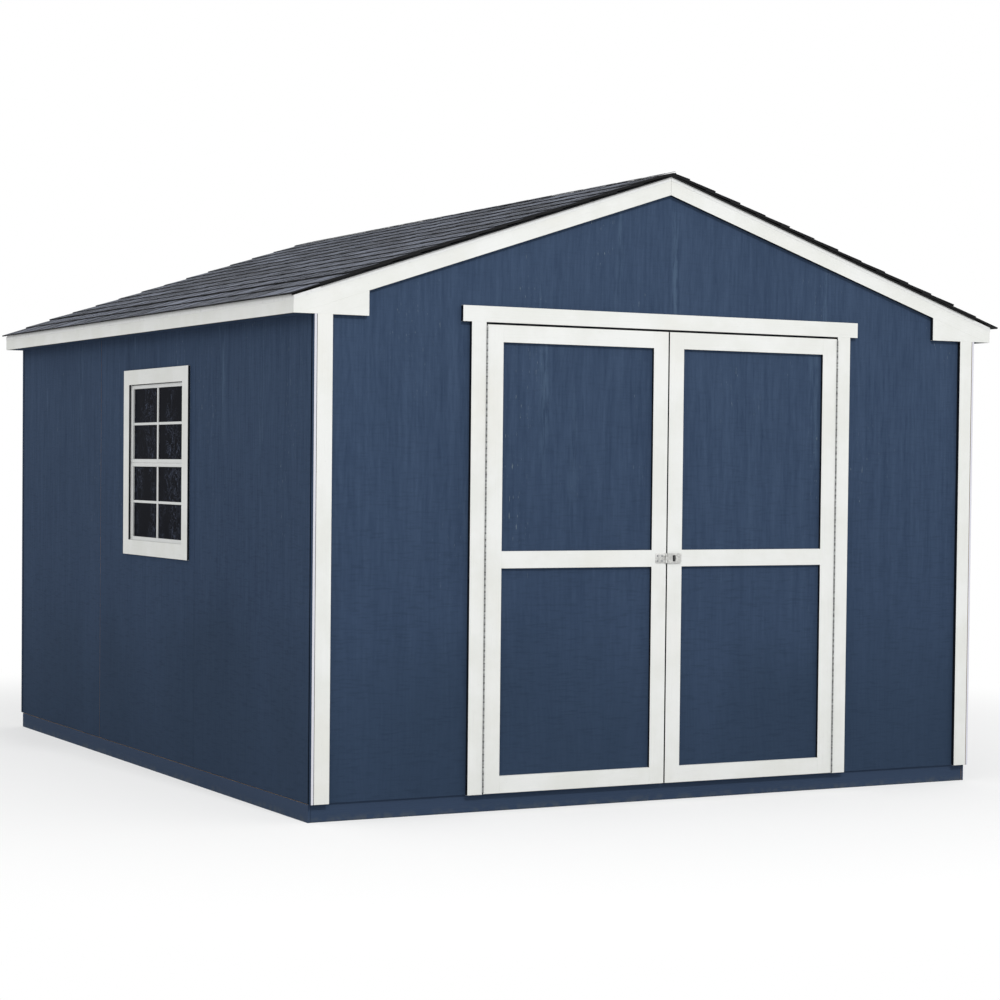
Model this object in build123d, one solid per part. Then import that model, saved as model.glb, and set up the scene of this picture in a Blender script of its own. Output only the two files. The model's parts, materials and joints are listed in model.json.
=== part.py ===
"""Ten by twelve foot garden shed: floor, stud walls, gable roof, double doors and one window.

Millimetres. The front faces -Y, +X is to the right seen from the front, +Z is up.
The origin is on the ground, under the centre of the floor.
"""
import os

from build123d import *

# Overall size, measured over the wall panels
SHED_WIDTH = 3048.0
SHED_DEPTH = 3658.0

# Stock sizes
PANEL = 9.5
TRIM = 19.0
LUMBER = 38.0
LUMBER_WIDE = 89.0
BUTT = 0.5
PLAY = 0.4

# Floor
FLOOR_BOARD = 16.0
JOIST_COUNT = 8
PANEL_BOTTOM = 70.0

# Walls
FRAME_X = SHED_WIDTH / 2 - PANEL
FRAME_Y = SHED_DEPTH / 2 - PANEL
DECK_TOP = LUMBER_WIDE + FLOOR_BOARD
EAVE_SEAT = 1890.0
STUD_BOTTOM = DECK_TOP + LUMBER
STUD_TOP = EAVE_SEAT - LUMBER
BACK_BAYS = 5
SIDE_BAYS = 6
GABLE_STUD_PITCH = 610.0
TRIM_WIDTH = 66.0
JAMB_TRIM_WIDTH = 62.5
TRIM_FACE = -SHED_DEPTH / 2 - TRIM

# Roof: one in three, straight from ridge to fascia
SLOPE = 1.0 / 3.0
RISE = (1.0 + SLOPE ** 2) ** 0.5
RAFTER_RIDGE = 2468.5
ROOF_BOARD = 11.0
FASCIA_X = 1608.0
SOFFIT_BOTTOM = 1881.0
RAKE_WIDTH = 55.5
RETURN_INNER = 1305.0
TRUSS_COUNT = 7
GUSSET = 12.0
GUSSET_REACH = 280.0
GUSSET_DEPTH = 180.0
GUSSET_MARGIN = 10.0
HEEL_GUSSET = (40.0, 380.0)
DRIP = 1.0
DRIP_FACE = 14.0
DRIP_FLANGE = 50.0
SHINGLE_TIP_X = 1640.0
SHINGLE_BUTT = 13.0
SHINGLE_THIN = 5.0
SHINGLE_EXPOSURE = 127.0
SHINGLE_OVERHANG = 10.0
SHINGLE_Y = SHED_DEPTH / 2 + TRIM + DRIP + SHINGLE_OVERHANG
CAP_WING = 150.0
CAP = 4.0
CAP_SEAT = 1.0

# Doorway and doors
DOOR_HALF = 812.8
HINGE_GAP = 5.0
DOOR_EDGE = DOOR_HALF - HINGE_GAP / 2
JAMB_EDGE = DOOR_HALF + HINGE_GAP / 2
MEETING_GAP = 3.0
DOOR_BOTTOM = 71.5
DOOR_TOP = 1868.5
DOORWAY_TOP = 1877.0
HEADER_HALF = 915.0
HEADER_HEIGHT = 61.0
OPENING_HALF = 790.0
DOOR_PANEL_BACK = -FRAME_Y - 5.0
DOOR_PANEL_FACE = DOOR_PANEL_BACK - PANEL
STILE_OUTER = 741.5
STILE_INNER = 70.0
RAIL = 66.0
MID_RAIL_Z = 969.5
BRACE = 64.0
BRACE_MARGIN = 26.5
BRACE_CLEARANCE = 7.0

# Window in the left wall
WINDOW_Y = -140.0
WINDOW_Z = 1328.0
GLAZED_WIDTH = 672.0
GLAZED_HEIGHT = 680.0
WINDOW_TRIM = 10.0
WINDOW_TRIM_HEAD = 64.0
WINDOW_TRIM_SIDE = 70.0
WINDOW_FRAME = 20.0
WINDOW_FRAME_DEPTH = 60.0
ROUGH_GAP = 4.0
SASH_GAP = 2.5
SASH = 18.0
SASH_STILE = 24.0
SASH_RAIL = 16.0
GLASS = 4.0

# Continuous door hinges
BARREL_R = 3.0
PIN_R = 1.2
BORE_R = 1.5
LEAF = 1.0
KNUCKLES = 25
KNUCKLE_FLATS = 16
HINGE_Y = TRIM_FACE - 2.5
HINGE_BOTTOM = 76.0
HINGE_TOP = 1864.0
LEAF_BACK = -FRAME_Y - 3.0

# Hasp
HASP_Z = MID_RAIL_Z
HASP_HEIGHT = 39.0
HASP_PLATE = 2.0
HASP_AXIS_X = -5.0
HASP_AXIS_Y = TRIM_FACE - 4.5
HASP_BARREL_R = 4.0
HASP_PIN_R = 1.5
HASP_CORNER_R = 6.0
HASP_LEAF_END = -54.0
HASP_STRAP_END = 64.0
STAPLE_X = 29.0
STAPLE_ROD_R = 2.5
STAPLE_FLATS = 8
STAPLE_BASE = (22.0, 30.0)
STAPLE_SPAN = 14.0
STAPLE_REACH = 20.5
SLOT_ROOM = 2.5
SLOT_SWING = 6.5
SLOT_CORNER_R = 3.0

NODES = {}


def block(x_range, y_range, z_range):
    """A straight board or slab between three pairs of faces."""
    size = [high - low for low, high in (x_range, y_range, z_range)]
    centre = [(high + low) / 2 for low, high in (x_range, y_range, z_range)]
    return Pos(*centre) * Box(*size)


def gable_slab(points, y_low, y_high):
    """A board cut to an outline drawn on the gable, X and Z, and as thick as its Y range."""
    outline = Plane.XZ.offset(-y_high) * make_face(Polyline(*points, close=True))
    return extrude(outline, amount=y_high - y_low)


def mirrored(pair, side):
    """The same range on the right, or with side -1 on the left."""
    low, high = pair
    return (low, high) if side > 0 else (-high, -low)


def upright(radius, x, y, z_low, z_high):
    """A round bar standing on its end."""
    return Pos(x, y, (z_low + z_high) / 2) * Cylinder(radius, z_high - z_low)


def knuckle_bar(radius, x, y, z_low, z_high):
    """A hinge barrel or its bore, with flats in place of a circle."""
    section = Pos(x, y, z_low) * RegularPolygon(radius, KNUCKLE_FLATS)
    return extrude(section, amount=z_high - z_low, dir=(0, 0, 1))


def rafter_under(x):
    """Height of the rafters' lower edge."""
    return RAFTER_RIDGE - abs(x) * SLOPE - LUMBER_WIDE * RISE


def reach_at(height, ridge_height):
    """Distance from the ridge at which a line of the roof's slope comes down to a height."""
    return (ridge_height - height) / SLOPE


def on_slope(side, x, ridge_height):
    """The point of the gable on a line of the roof's slope, at a distance from the ridge."""
    return (side * x, ridge_height - x * SLOPE)


def keep(name, *solids):
    """Files the solids of one sub-part under its name."""
    NODES.setdefault(name, []).extend(solids)


def build_floor():
    """Two by four joists between full-width front and back rims, under one deck."""
    inner = FRAME_Y - LUMBER
    joist_z = (0, LUMBER_WIDE)
    for side in (-1, 1):
        rim = sorted((side * inner, side * FRAME_Y))
        keep("floor_frame", block((-FRAME_X, FRAME_X), rim, joist_z))
    pitch = (2 * FRAME_X - LUMBER) / (JOIST_COUNT - 1)
    for number in range(JOIST_COUNT):
        left = -FRAME_X + number * pitch
        keep("floor_frame", block((left, left + LUMBER), (-inner + BUTT, inner - BUTT), joist_z))
    keep("floor_deck", block((-FRAME_X, FRAME_X), (-FRAME_Y, FRAME_Y), (LUMBER_WIDE, DECK_TOP)))


def build_plates():
    """Bottom and top plates; the bottom plate stops at the doorway."""
    inner_y = FRAME_Y - LUMBER_WIDE
    low = (DECK_TOP, STUD_BOTTOM)
    high = (STUD_TOP, EAVE_SEAT)
    for side in (-1, 1):
        keep("wall_plates", block(mirrored((OPENING_HALF, FRAME_X), side), (-FRAME_Y, -inner_y), low))
        wall_x = mirrored((FRAME_X - LUMBER_WIDE, FRAME_X), side)
        for level in (low, high):
            keep("wall_plates", block(wall_x, (-inner_y + BUTT, inner_y - BUTT), level))
    keep("wall_plates", block((-FRAME_X, FRAME_X), (inner_y, FRAME_Y), low))
    keep("wall_plates", block((-FRAME_X, FRAME_X), (inner_y, FRAME_Y), high))
    keep("wall_plates", block((-FRAME_X, FRAME_X), (-FRAME_Y, -inner_y), high))


def end_stud(x_low, front):
    """One stud of the front or back wall, its wide side across the wall."""
    y_range = (-FRAME_Y, -FRAME_Y + LUMBER_WIDE) if front else (FRAME_Y - LUMBER_WIDE, FRAME_Y)
    return block((x_low, x_low + LUMBER), y_range, (STUD_BOTTOM, STUD_TOP))


def side_stud(side, y_centre, z_low=STUD_BOTTOM, z_high=STUD_TOP):
    """One stud of a side wall."""
    wall_x = mirrored((FRAME_X - LUMBER_WIDE, FRAME_X), side)
    return block(wall_x, (y_centre - LUMBER / 2, y_centre + LUMBER / 2), (z_low, z_high))


def build_studs():
    """Studs at two foot centres, doubled by jambs at the doorway and trimmers at the window."""
    for side in (-1, 1):
        for x_low in (OPENING_HALF, (OPENING_HALF + FRAME_X - LUMBER) / 2, FRAME_X - LUMBER):
            keep("wall_studs", end_stud(min(side * x_low, side * (x_low + LUMBER)), True))
    for number in range(BACK_BAYS + 1):
        x_low = -FRAME_X + number * (2 * FRAME_X - LUMBER) / BACK_BAYS
        keep("wall_studs", end_stud(x_low, False))

    end_y = FRAME_Y - LUMBER_WIDE - LUMBER / 2 - BUTT
    rough_half = GLAZED_WIDTH / 2 + WINDOW_FRAME + ROUGH_GAP
    rough_low = WINDOW_Z - GLAZED_HEIGHT / 2 - WINDOW_FRAME - ROUGH_GAP
    rough_high = WINDOW_Z + GLAZED_HEIGHT / 2 + WINDOW_FRAME + ROUGH_GAP
    for number in range(SIDE_BAYS + 1):
        y_centre = -end_y + number * 2 * end_y / SIDE_BAYS
        keep("wall_studs", side_stud(1, y_centre))
        if abs(y_centre - WINDOW_Y) > rough_half + 2 * LUMBER:
            keep("wall_studs", side_stud(-1, y_centre))
    for side in (-1, 1):
        keep("wall_studs", side_stud(-1, WINDOW_Y + side * (rough_half + LUMBER / 2)))
    keep("wall_studs", side_stud(-1, WINDOW_Y, STUD_BOTTOM, rough_low - LUMBER - BUTT))
    wall_x = (-FRAME_X, -FRAME_X + LUMBER_WIDE)
    rough_y = (WINDOW_Y - rough_half + BUTT, WINDOW_Y + rough_half - BUTT)
    keep("wall_studs", block(wall_x, rough_y, (rough_low - LUMBER, rough_low)))
    keep("wall_studs", block(wall_x, rough_y, (rough_high, rough_high + LUMBER)))


def build_panels():
    """Grooveless wall panels outside the studs, hanging below the deck."""
    face = SHED_DEPTH / 2
    for side, name in ((-1, "front_left_wall"), (1, "front_right_wall")):
        across = mirrored((JAMB_EDGE, SHED_WIDTH / 2), side)
        keep(name, block(across, (-face, -FRAME_Y), (PANEL_BOTTOM, DOORWAY_TOP)))

    half = SHED_WIDTH / 2
    roof_line = [on_slope(1, half, RAFTER_RIDGE), (0, RAFTER_RIDGE), on_slope(-1, half, RAFTER_RIDGE)]
    gable = [(-half, DOORWAY_TOP), (half, DOORWAY_TOP)] + roof_line
    keep("front_gable_wall", gable_slab(gable, -face, -FRAME_Y))
    back = [(-half, PANEL_BOTTOM), (half, PANEL_BOTTOM)] + roof_line
    keep("back_wall", gable_slab(back, FRAME_Y, face))

    tall = (PANEL_BOTTOM, EAVE_SEAT)
    keep("right_wall", block((FRAME_X, half), (-FRAME_Y, FRAME_Y), tall))
    left_x = (-half, -FRAME_X)
    cut_half = GLAZED_WIDTH / 2 + WINDOW_FRAME
    cut_rise = GLAZED_HEIGHT / 2 + WINDOW_FRAME
    front_of_window = WINDOW_Y - cut_half
    back_of_window = WINDOW_Y + cut_half
    across = (front_of_window + PLAY / 2, back_of_window - PLAY / 2)
    keep("left_wall", block(left_x, (-FRAME_Y, front_of_window), tall))
    keep("left_wall", block(left_x, (back_of_window, FRAME_Y), tall))
    keep("left_wall", block(left_x, across, (PANEL_BOTTOM, WINDOW_Z - cut_rise)))
    keep("left_wall", block(left_x, across, (WINDOW_Z + cut_rise, EAVE_SEAT)))


def build_corner_and_door_trim():
    """Flat boards on the corners and round the doorway."""
    face = -SHED_DEPTH / 2
    half = SHED_WIDTH / 2
    for side in (-1, 1):
        corner = mirrored((half - TRIM_WIDTH, half), side)
        jamb = mirrored((JAMB_EDGE, JAMB_EDGE + JAMB_TRIM_WIDTH), side)
        keep("corner_trims", block(corner, (TRIM_FACE, face), (PANEL_BOTTOM, SOFFIT_BOTTOM)))
        keep("corner_trims", block(corner, (-face, -TRIM_FACE), (PANEL_BOTTOM, SOFFIT_BOTTOM)))
        keep("doorway_side_trims", block(jamb, (TRIM_FACE, face), (PANEL_BOTTOM, DOORWAY_TOP)))
    keep("doorway_header_trim", block((-HEADER_HALF, HEADER_HALF), (TRIM_FACE, face),
                                      (DOORWAY_TOP, DOORWAY_TOP + HEADER_HEIGHT)))


def build_eaves():
    """Rake boards, the level returns below them, fascias and closed soffits."""
    face = SHED_DEPTH / 2
    lower_ridge = RAFTER_RIDGE - RAKE_WIDTH * RISE
    toe = reach_at(SOFFIT_BOTTOM, lower_ridge)
    fascia_in = FASCIA_X - TRIM
    for side in (-1, 1):
        rake = [on_slope(side, BUTT / 2, lower_ridge), (side * toe, SOFFIT_BOTTOM),
                (side * FASCIA_X, SOFFIT_BOTTOM), on_slope(side, FASCIA_X, RAFTER_RIDGE),
                on_slope(side, BUTT / 2, RAFTER_RIDGE)]
        level_return = [(side * RETURN_INNER, SOFFIT_BOTTOM), (side * toe, SOFFIT_BOTTOM),
                        on_slope(side, RETURN_INNER, lower_ridge)]
        for y_low, y_high in ((TRIM_FACE, -face), (face, -TRIM_FACE)):
            keep("rake_boards", gable_slab(rake, y_low, y_high))
            keep("eave_returns", gable_slab(level_return, y_low, y_high))
        fascia = [(side * fascia_in, SOFFIT_BOTTOM), (side * FASCIA_X, SOFFIT_BOTTOM),
                  on_slope(side, FASCIA_X, RAFTER_RIDGE), on_slope(side, fascia_in, RAFTER_RIDGE)]
        keep("fascia_boards", gable_slab(fascia, -face, face))
        keep("soffit_boards", block(mirrored((SHED_WIDTH / 2, fascia_in), side), (-face, face),
                                    (SOFFIT_BOTTOM, EAVE_SEAT)))


def truss_places():
    """Front faces of the trusses, the first and last flush with the wall frames."""
    pitch = (2 * FRAME_Y - LUMBER) / (TRUSS_COUNT - 1)
    return [-FRAME_Y + number * pitch for number in range(TRUSS_COUNT)]


def build_trusses():
    """Rafters with level-cut tails, bottom chords fitted under them, and plywood gussets."""
    tail = FASCIA_X - TRIM
    seat = reach_at(EAVE_SEAT, rafter_under(0))
    chord_top = EAVE_SEAT + LUMBER_WIDE
    chord_inner = reach_at(chord_top, rafter_under(0))
    chord = [(-seat, EAVE_SEAT), (seat, EAVE_SEAT), (chord_inner, chord_top), (-chord_inner, chord_top)]
    plate_top = RAFTER_RIDGE - GUSSET_MARGIN
    plate_low = plate_top - GUSSET_DEPTH
    heel_low = EAVE_SEAT + GUSSET_MARGIN / 2
    outer, inner = (seat - distance for distance in HEEL_GUSSET)
    ridge_plate = [(0, plate_top), on_slope(1, GUSSET_REACH, plate_top), (GUSSET_REACH, plate_low),
                   (-GUSSET_REACH, plate_low), on_slope(-1, GUSSET_REACH, plate_top)]
    places = truss_places()
    for number, front in enumerate(places):
        for side in (-1, 1):
            rafter = [on_slope(side, BUTT / 2, RAFTER_RIDGE), on_slope(side, tail, RAFTER_RIDGE),
                      (side * tail, EAVE_SEAT), (side * seat, EAVE_SEAT),
                      on_slope(side, BUTT / 2, rafter_under(0))]
            keep("roof_rafters", gable_slab(rafter, front, front + LUMBER))
        keep("truss_chords", gable_slab(chord, front, front + LUMBER))
        if 0 < number < TRUSS_COUNT - 1:
            keep("truss_gussets", gable_slab(ridge_plate, front - GUSSET, front))
            for side in (-1, 1):
                heel = [(side * outer, heel_low), (side * inner, heel_low),
                        on_slope(side, inner, plate_top), on_slope(side, outer, plate_top)]
                keep("truss_gussets", gable_slab(heel, front - GUSSET, front))
    for front in (places[0], places[-1]):
        for centre in (-GABLE_STUD_PITCH, 0, GABLE_STUD_PITCH):
            top = min(rafter_under(centre - LUMBER / 2), rafter_under(centre + LUMBER / 2))
            keep("gable_studs", block((centre - LUMBER / 2, centre + LUMBER / 2), (front, front + LUMBER),
                                      (chord_top, top)))


def strip_outline(side, inner, outer, ridge_height, depth):
    """Outline of a strip that follows the slope, its top on a line and its ends plumb."""
    return [on_slope(side, x, ridge_height - drop)
            for x, drop in ((inner, 0), (outer, 0), (outer, depth), (inner, depth))]


def build_roof_boards():
    """One sheet of roof boarding on each slope, and the folded metal edge round it."""
    reach_y = -TRIM_FACE
    thick = ROOF_BOARD * RISE
    lap = DRIP_FACE * RISE
    for side, name in ((-1, "left_roof_boards"), (1, "right_roof_boards")):
        sheet = [on_slope(side, x, RAFTER_RIDGE + lift)
                 for x, lift in ((BUTT / 2, 0), (FASCIA_X, 0), (FASCIA_X, thick), (BUTT / 2, thick))]
        keep(name, gable_slab(sheet, -reach_y, reach_y))

        top = RAFTER_RIDGE + thick + DRIP * RISE
        rake_end = FASCIA_X - BUTT
        apron, flange = (strip_outline(side, BUTT, rake_end, top, depth) for depth in (lap, DRIP * RISE))
        for end in (-1, 1):
            hanging = gable_slab(apron, *sorted((end * reach_y, end * (reach_y + DRIP))))
            lying = gable_slab(flange, *sorted((end * (reach_y - DRIP_FLANGE), end * (reach_y + DRIP))))
            keep("roof_drip_edges", hanging + lying)
        eave_flange = strip_outline(side, FASCIA_X - DRIP_FLANGE, FASCIA_X + DRIP, top, DRIP * RISE)
        eave_apron = strip_outline(side, FASCIA_X, FASCIA_X + DRIP, top, lap)
        half = reach_y - DRIP_FLANGE - BUTT
        whole = reach_y + DRIP
        keep("roof_drip_edges", gable_slab(eave_flange, -half, half) + gable_slab(eave_apron, -whole, whole))


def shingle_outline(side):
    """Stepped section of one slope: every course is thick at its butt and thin at its head.

    The uppermost course runs on under the cap.
    """
    base = RAFTER_RIDGE + (ROOF_BOARD + DRIP) * RISE
    run = SHINGLE_EXPOSURE / RISE
    points = [on_slope(side, SHINGLE_TIP_X, base)]
    x = SHINGLE_TIP_X
    while x > BUTT:
        head = x - run if x - run > CAP_WING else BUTT / 2
        points.append(on_slope(side, x, base + SHINGLE_BUTT))
        points.append(on_slope(side, head, base + SHINGLE_THIN))
        x = head
    points.append(on_slope(side, BUTT / 2, base))
    return points


def build_shingles():
    """Courses of roof shingles and the two wings of the cap that covers the ridge."""
    seat = RAFTER_RIDGE + (ROOF_BOARD + DRIP) * RISE
    at_ridge = seat + SHINGLE_THIN + CAP_SEAT
    at_edge = seat + SHINGLE_BUTT + CAP_SEAT
    for side, name in ((-1, "left_shingles"), (1, "right_shingles")):
        keep(name, gable_slab(shingle_outline(side), -SHINGLE_Y, SHINGLE_Y))
        wing = [on_slope(side, BUTT / 2, at_ridge), on_slope(side, CAP_WING, at_edge),
                on_slope(side, CAP_WING, at_edge + CAP), on_slope(side, BUTT / 2, at_ridge + CAP)]
        keep("ridge_cap", gable_slab(wing, -SHINGLE_Y, SHINGLE_Y))


def bordered(name, x_range, y_half, z_half, side_bar, end_bar):
    """Four bars round the window: two full-height sides and a head and foot between them."""
    z_low = WINDOW_Z - z_half
    z_high = WINDOW_Z + z_half
    for side in (-1, 1):
        outer = sorted((side * y_half, side * (y_half - side_bar)))
        keep(name, block(x_range, [WINDOW_Y + edge for edge in outer], (z_low, z_high)))
    inner = y_half - side_bar - BUTT / 2
    across = (WINDOW_Y - inner, WINDOW_Y + inner)
    keep(name, block(x_range, across, (z_high - end_bar, z_high)))
    keep(name, block(x_range, across, (z_low, z_low + end_bar)))


def build_window():
    """Outer boards, frame, two sashes one above the other, and their glass.

    The sashes bear on the frame's foot and front side, with their play at the head and rear side.
    """
    wall = -SHED_WIDTH / 2
    y_half = GLAZED_WIDTH / 2
    z_half = GLAZED_HEIGHT / 2
    bordered("window_trim", (wall - WINDOW_TRIM, wall), y_half + WINDOW_TRIM_SIDE, z_half + WINDOW_TRIM_HEAD,
             WINDOW_TRIM_SIDE, WINDOW_TRIM_HEAD)
    bordered("window_frame", (wall, wall + WINDOW_FRAME_DEPTH), y_half + WINDOW_FRAME - BUTT,
             z_half + WINDOW_FRAME - BUTT, WINDOW_FRAME - BUTT, WINDOW_FRAME - BUTT)

    face = wall + 1
    sash_x = (face, face + SASH)
    glass_x = (face + (SASH - GLASS) / 2, face + (SASH + GLASS) / 2)
    y_low, y_high = WINDOW_Y - y_half, WINDOW_Y + y_half - SASH_GAP
    foot, head = WINDOW_Z - z_half, WINDOW_Z + z_half - SASH_GAP
    meeting = (foot + head) / 2
    across = (y_low + SASH_STILE + BUTT / 2, y_high - SASH_STILE - BUTT / 2)
    for z_low, z_high in ((foot, meeting - BUTT / 2), (meeting + BUTT / 2, head)):
        for stile in ((y_low, y_low + SASH_STILE), (y_high - SASH_STILE, y_high)):
            keep("window_sashes", block(sash_x, stile, (z_low, z_high)))
        keep("window_sashes", block(sash_x, across, (z_low, z_low + SASH_RAIL)))
        keep("window_sashes", block(sash_x, across, (z_high - SASH_RAIL, z_high)))
        keep("window_glass", block(glass_x, across, (z_low + SASH_RAIL, z_high - SASH_RAIL)))


def build_door(side, hand):
    """One leaf: panel, outer stiles and rails, and the frame behind that stiffens it."""
    height = (DOOR_BOTTOM, DOOR_TOP)
    outer_face = (TRIM_FACE, DOOR_PANEL_FACE)
    keep(hand + "_door_panel", block(mirrored((MEETING_GAP, DOOR_EDGE), side),
                                     (DOOR_PANEL_FACE, DOOR_PANEL_BACK), height))
    for edge in ((MEETING_GAP, STILE_INNER), (STILE_OUTER, DOOR_EDGE)):
        keep(hand + "_door_stiles", block(mirrored(edge, side), outer_face, height))
    middle = (MID_RAIL_Z - RAIL / 2, MID_RAIL_Z + RAIL / 2)
    levels = (DOOR_BOTTOM, DOOR_BOTTOM + RAIL), middle, (DOOR_TOP - RAIL, DOOR_TOP)
    for level in levels:
        keep(hand + "_door_rails", block(mirrored((STILE_INNER, STILE_OUTER), side), outer_face, level))

    inner_face = (DOOR_PANEL_BACK, DOOR_PANEL_BACK + LUMBER)
    near, far = MEETING_GAP + BRACE_MARGIN, DOOR_EDGE - BRACE_MARGIN
    low, high = DECK_TOP + BRACE_CLEARANCE, STUD_TOP - BRACE_CLEARANCE
    for edge in ((near, near + BRACE), (far - BRACE, far)):
        keep(hand + "_door_frame", block(mirrored(edge, side), inner_face, (low, high)))
    across = (near + BRACE + BUTT, far - BRACE - BUTT)
    middle = (MID_RAIL_Z - BRACE / 2, MID_RAIL_Z + BRACE / 2)
    for level in ((low, low + BRACE), middle, (high - BRACE, high)):
        keep(hand + "_door_frame", block(mirrored(across, side), inner_face, level))


def build_hinge(side, hand):
    """Continuous hinge: the jamb leaf carries the pin, the door leaf's knuckles turn on it."""
    axis_x = side * DOOR_HALF
    pitch = (HINGE_TOP - HINGE_BOTTOM) / KNUCKLES
    strip_y = (HINGE_Y + BARREL_R + PLAY, LEAF_BACK)
    tab_y = (HINGE_Y + BORE_R + PLAY, LEAF_BACK)
    jamb_x = mirrored((JAMB_EDGE - LEAF, JAMB_EDGE), side)
    door_x = mirrored((DOOR_EDGE, DOOR_EDGE + LEAF), side)
    jamb = block(jamb_x, strip_y, (HINGE_BOTTOM, HINGE_TOP))
    door = block(door_x, strip_y, (HINGE_BOTTOM, HINGE_TOP))
    jamb_parts = [knuckle_bar(PIN_R, axis_x, HINGE_Y, HINGE_BOTTOM, HINGE_TOP)]
    door_parts = []
    for number in range(KNUCKLES):
        low = HINGE_BOTTOM + number * pitch + PLAY / 2
        high = low + pitch - PLAY
        knuckle = knuckle_bar(BARREL_R, axis_x, HINGE_Y, low, high)
        if number % 2 == 0:
            jamb_parts += [knuckle, block(jamb_x, tab_y, (low, high))]
        else:
            bored = knuckle + block(door_x, tab_y, (low, high))
            door_parts.append(bored - knuckle_bar(BORE_R, axis_x, HINGE_Y, low - 1, high + 1))
    keep("jamb_hinge_leaves", jamb + jamb_parts)
    keep(hand + "_door_hinge_leaf", door + door_parts)


def build_hasp():
    """Hasp leaf on the left door, strap hinged to it, staple through the strap on the right door."""
    low = HASP_Z - HASP_HEIGHT / 2
    high = HASP_Z + HASP_HEIGHT / 2
    third = HASP_HEIGHT / 3
    plate = (TRIM_FACE - HASP_PLATE, TRIM_FACE)

    leaf = block((HASP_LEAF_END, HASP_AXIS_X - HASP_BARREL_R), plate, (low, high))
    leaf = fillet(leaf.edges().filter_by(Axis.Y).group_by(Axis.X)[0], HASP_CORNER_R)
    leaf += upright(HASP_PIN_R, HASP_AXIS_X, HASP_AXIS_Y, low, high)
    for z_low in (low, high - third + PLAY):
        z_range = (z_low, z_low + third - PLAY)
        leaf += upright(HASP_BARREL_R, HASP_AXIS_X, HASP_AXIS_Y, *z_range)
        leaf += block((HASP_AXIS_X - HASP_BARREL_R - 1, HASP_AXIS_X), plate, z_range)
    keep("hasp_leaf", leaf)

    strap_y = (HASP_AXIS_Y - HASP_PLATE, HASP_AXIS_Y)
    strap = block((HASP_AXIS_X + HASP_BARREL_R + 1, HASP_STRAP_END), strap_y, (low, high))
    strap = fillet(strap.edges().filter_by(Axis.Y).group_by(Axis.X)[-1], HASP_CORNER_R)
    middle = (low + third + PLAY, high - third - PLAY)
    strap += block((HASP_AXIS_X, HASP_AXIS_X + HASP_BARREL_R + 2), strap_y, middle)
    strap += upright(HASP_BARREL_R, HASP_AXIS_X, HASP_AXIS_Y, *middle)
    strap -= upright(HASP_PIN_R + PLAY, HASP_AXIS_X, HASP_AXIS_Y, low - 1, high + 1)
    slot_half = STAPLE_SPAN / 2 + STAPLE_ROD_R + SLOT_ROOM
    slot = block((STAPLE_X - STAPLE_ROD_R - SLOT_ROOM, STAPLE_X + STAPLE_ROD_R + SLOT_SWING),
                 (strap_y[0] - 1, strap_y[1] + 1), (HASP_Z - slot_half, HASP_Z + slot_half))
    strap -= fillet(slot.edges().filter_by(Axis.Y), SLOT_CORNER_R)
    keep("hasp_strap", strap)

    base_width, base_height = STAPLE_BASE
    base = Pos(STAPLE_X, (plate[0] + plate[1]) / 2, HASP_Z) * Box(base_width, HASP_PLATE, base_height)
    bend = STAPLE_SPAN / 2
    turn_y = TRIM_FACE - STAPLE_REACH + STAPLE_ROD_R + bend
    with BuildLine(Plane.YZ.offset(STAPLE_X)) as route:
        first = Line((plate[0] + 1, HASP_Z - bend), (turn_y, HASP_Z - bend))
        bow = ThreePointArc((turn_y, HASP_Z - bend), (turn_y - bend, HASP_Z), (turn_y, HASP_Z + bend))
        Line((turn_y, HASP_Z + bend), (plate[0] + 1, HASP_Z + bend))
    start = Plane(origin=first @ 0, z_dir=first % 0)
    rod = sweep(start * RegularPolygon(STAPLE_ROD_R, STAPLE_FLATS), path=route.wires()[0])
    keep("hasp_staple", base + rod)


build_floor()
build_plates()
build_studs()
build_panels()
build_corner_and_door_trim()
build_eaves()
build_trusses()
build_roof_boards()
build_shingles()
build_window()
for door_side, door_hand in ((-1, "left"), (1, "right")):
    build_door(door_side, door_hand)
    build_hinge(door_side, door_hand)
build_hasp()

os.makedirs("parts", exist_ok=True)
for node, solids in NODES.items():
    shape = solids[0] if len(solids) == 1 else Compound(children=solids)
    export_step(shape, "parts/" + node + ".step")
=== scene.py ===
import json
import math
import random

import bmesh
import bpy
from mathutils import Matrix, Vector

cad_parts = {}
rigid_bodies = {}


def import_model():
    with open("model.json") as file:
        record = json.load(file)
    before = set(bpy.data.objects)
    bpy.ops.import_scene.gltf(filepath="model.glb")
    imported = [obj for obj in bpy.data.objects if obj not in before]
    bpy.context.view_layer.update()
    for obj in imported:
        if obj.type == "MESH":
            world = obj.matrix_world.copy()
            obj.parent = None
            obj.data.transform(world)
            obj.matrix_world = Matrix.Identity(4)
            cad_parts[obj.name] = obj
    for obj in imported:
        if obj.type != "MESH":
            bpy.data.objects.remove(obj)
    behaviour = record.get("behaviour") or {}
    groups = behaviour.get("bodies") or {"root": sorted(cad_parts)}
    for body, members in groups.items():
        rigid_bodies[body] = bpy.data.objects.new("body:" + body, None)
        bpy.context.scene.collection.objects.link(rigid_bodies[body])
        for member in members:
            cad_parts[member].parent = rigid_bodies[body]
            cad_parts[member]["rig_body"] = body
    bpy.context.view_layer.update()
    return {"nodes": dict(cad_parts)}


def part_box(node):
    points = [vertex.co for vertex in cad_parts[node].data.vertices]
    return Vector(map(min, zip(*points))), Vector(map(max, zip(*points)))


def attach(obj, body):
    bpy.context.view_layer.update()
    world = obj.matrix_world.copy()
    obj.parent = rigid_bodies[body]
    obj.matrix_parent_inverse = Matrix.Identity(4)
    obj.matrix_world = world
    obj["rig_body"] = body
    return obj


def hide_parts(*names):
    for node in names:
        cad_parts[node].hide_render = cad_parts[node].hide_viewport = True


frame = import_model()


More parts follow.
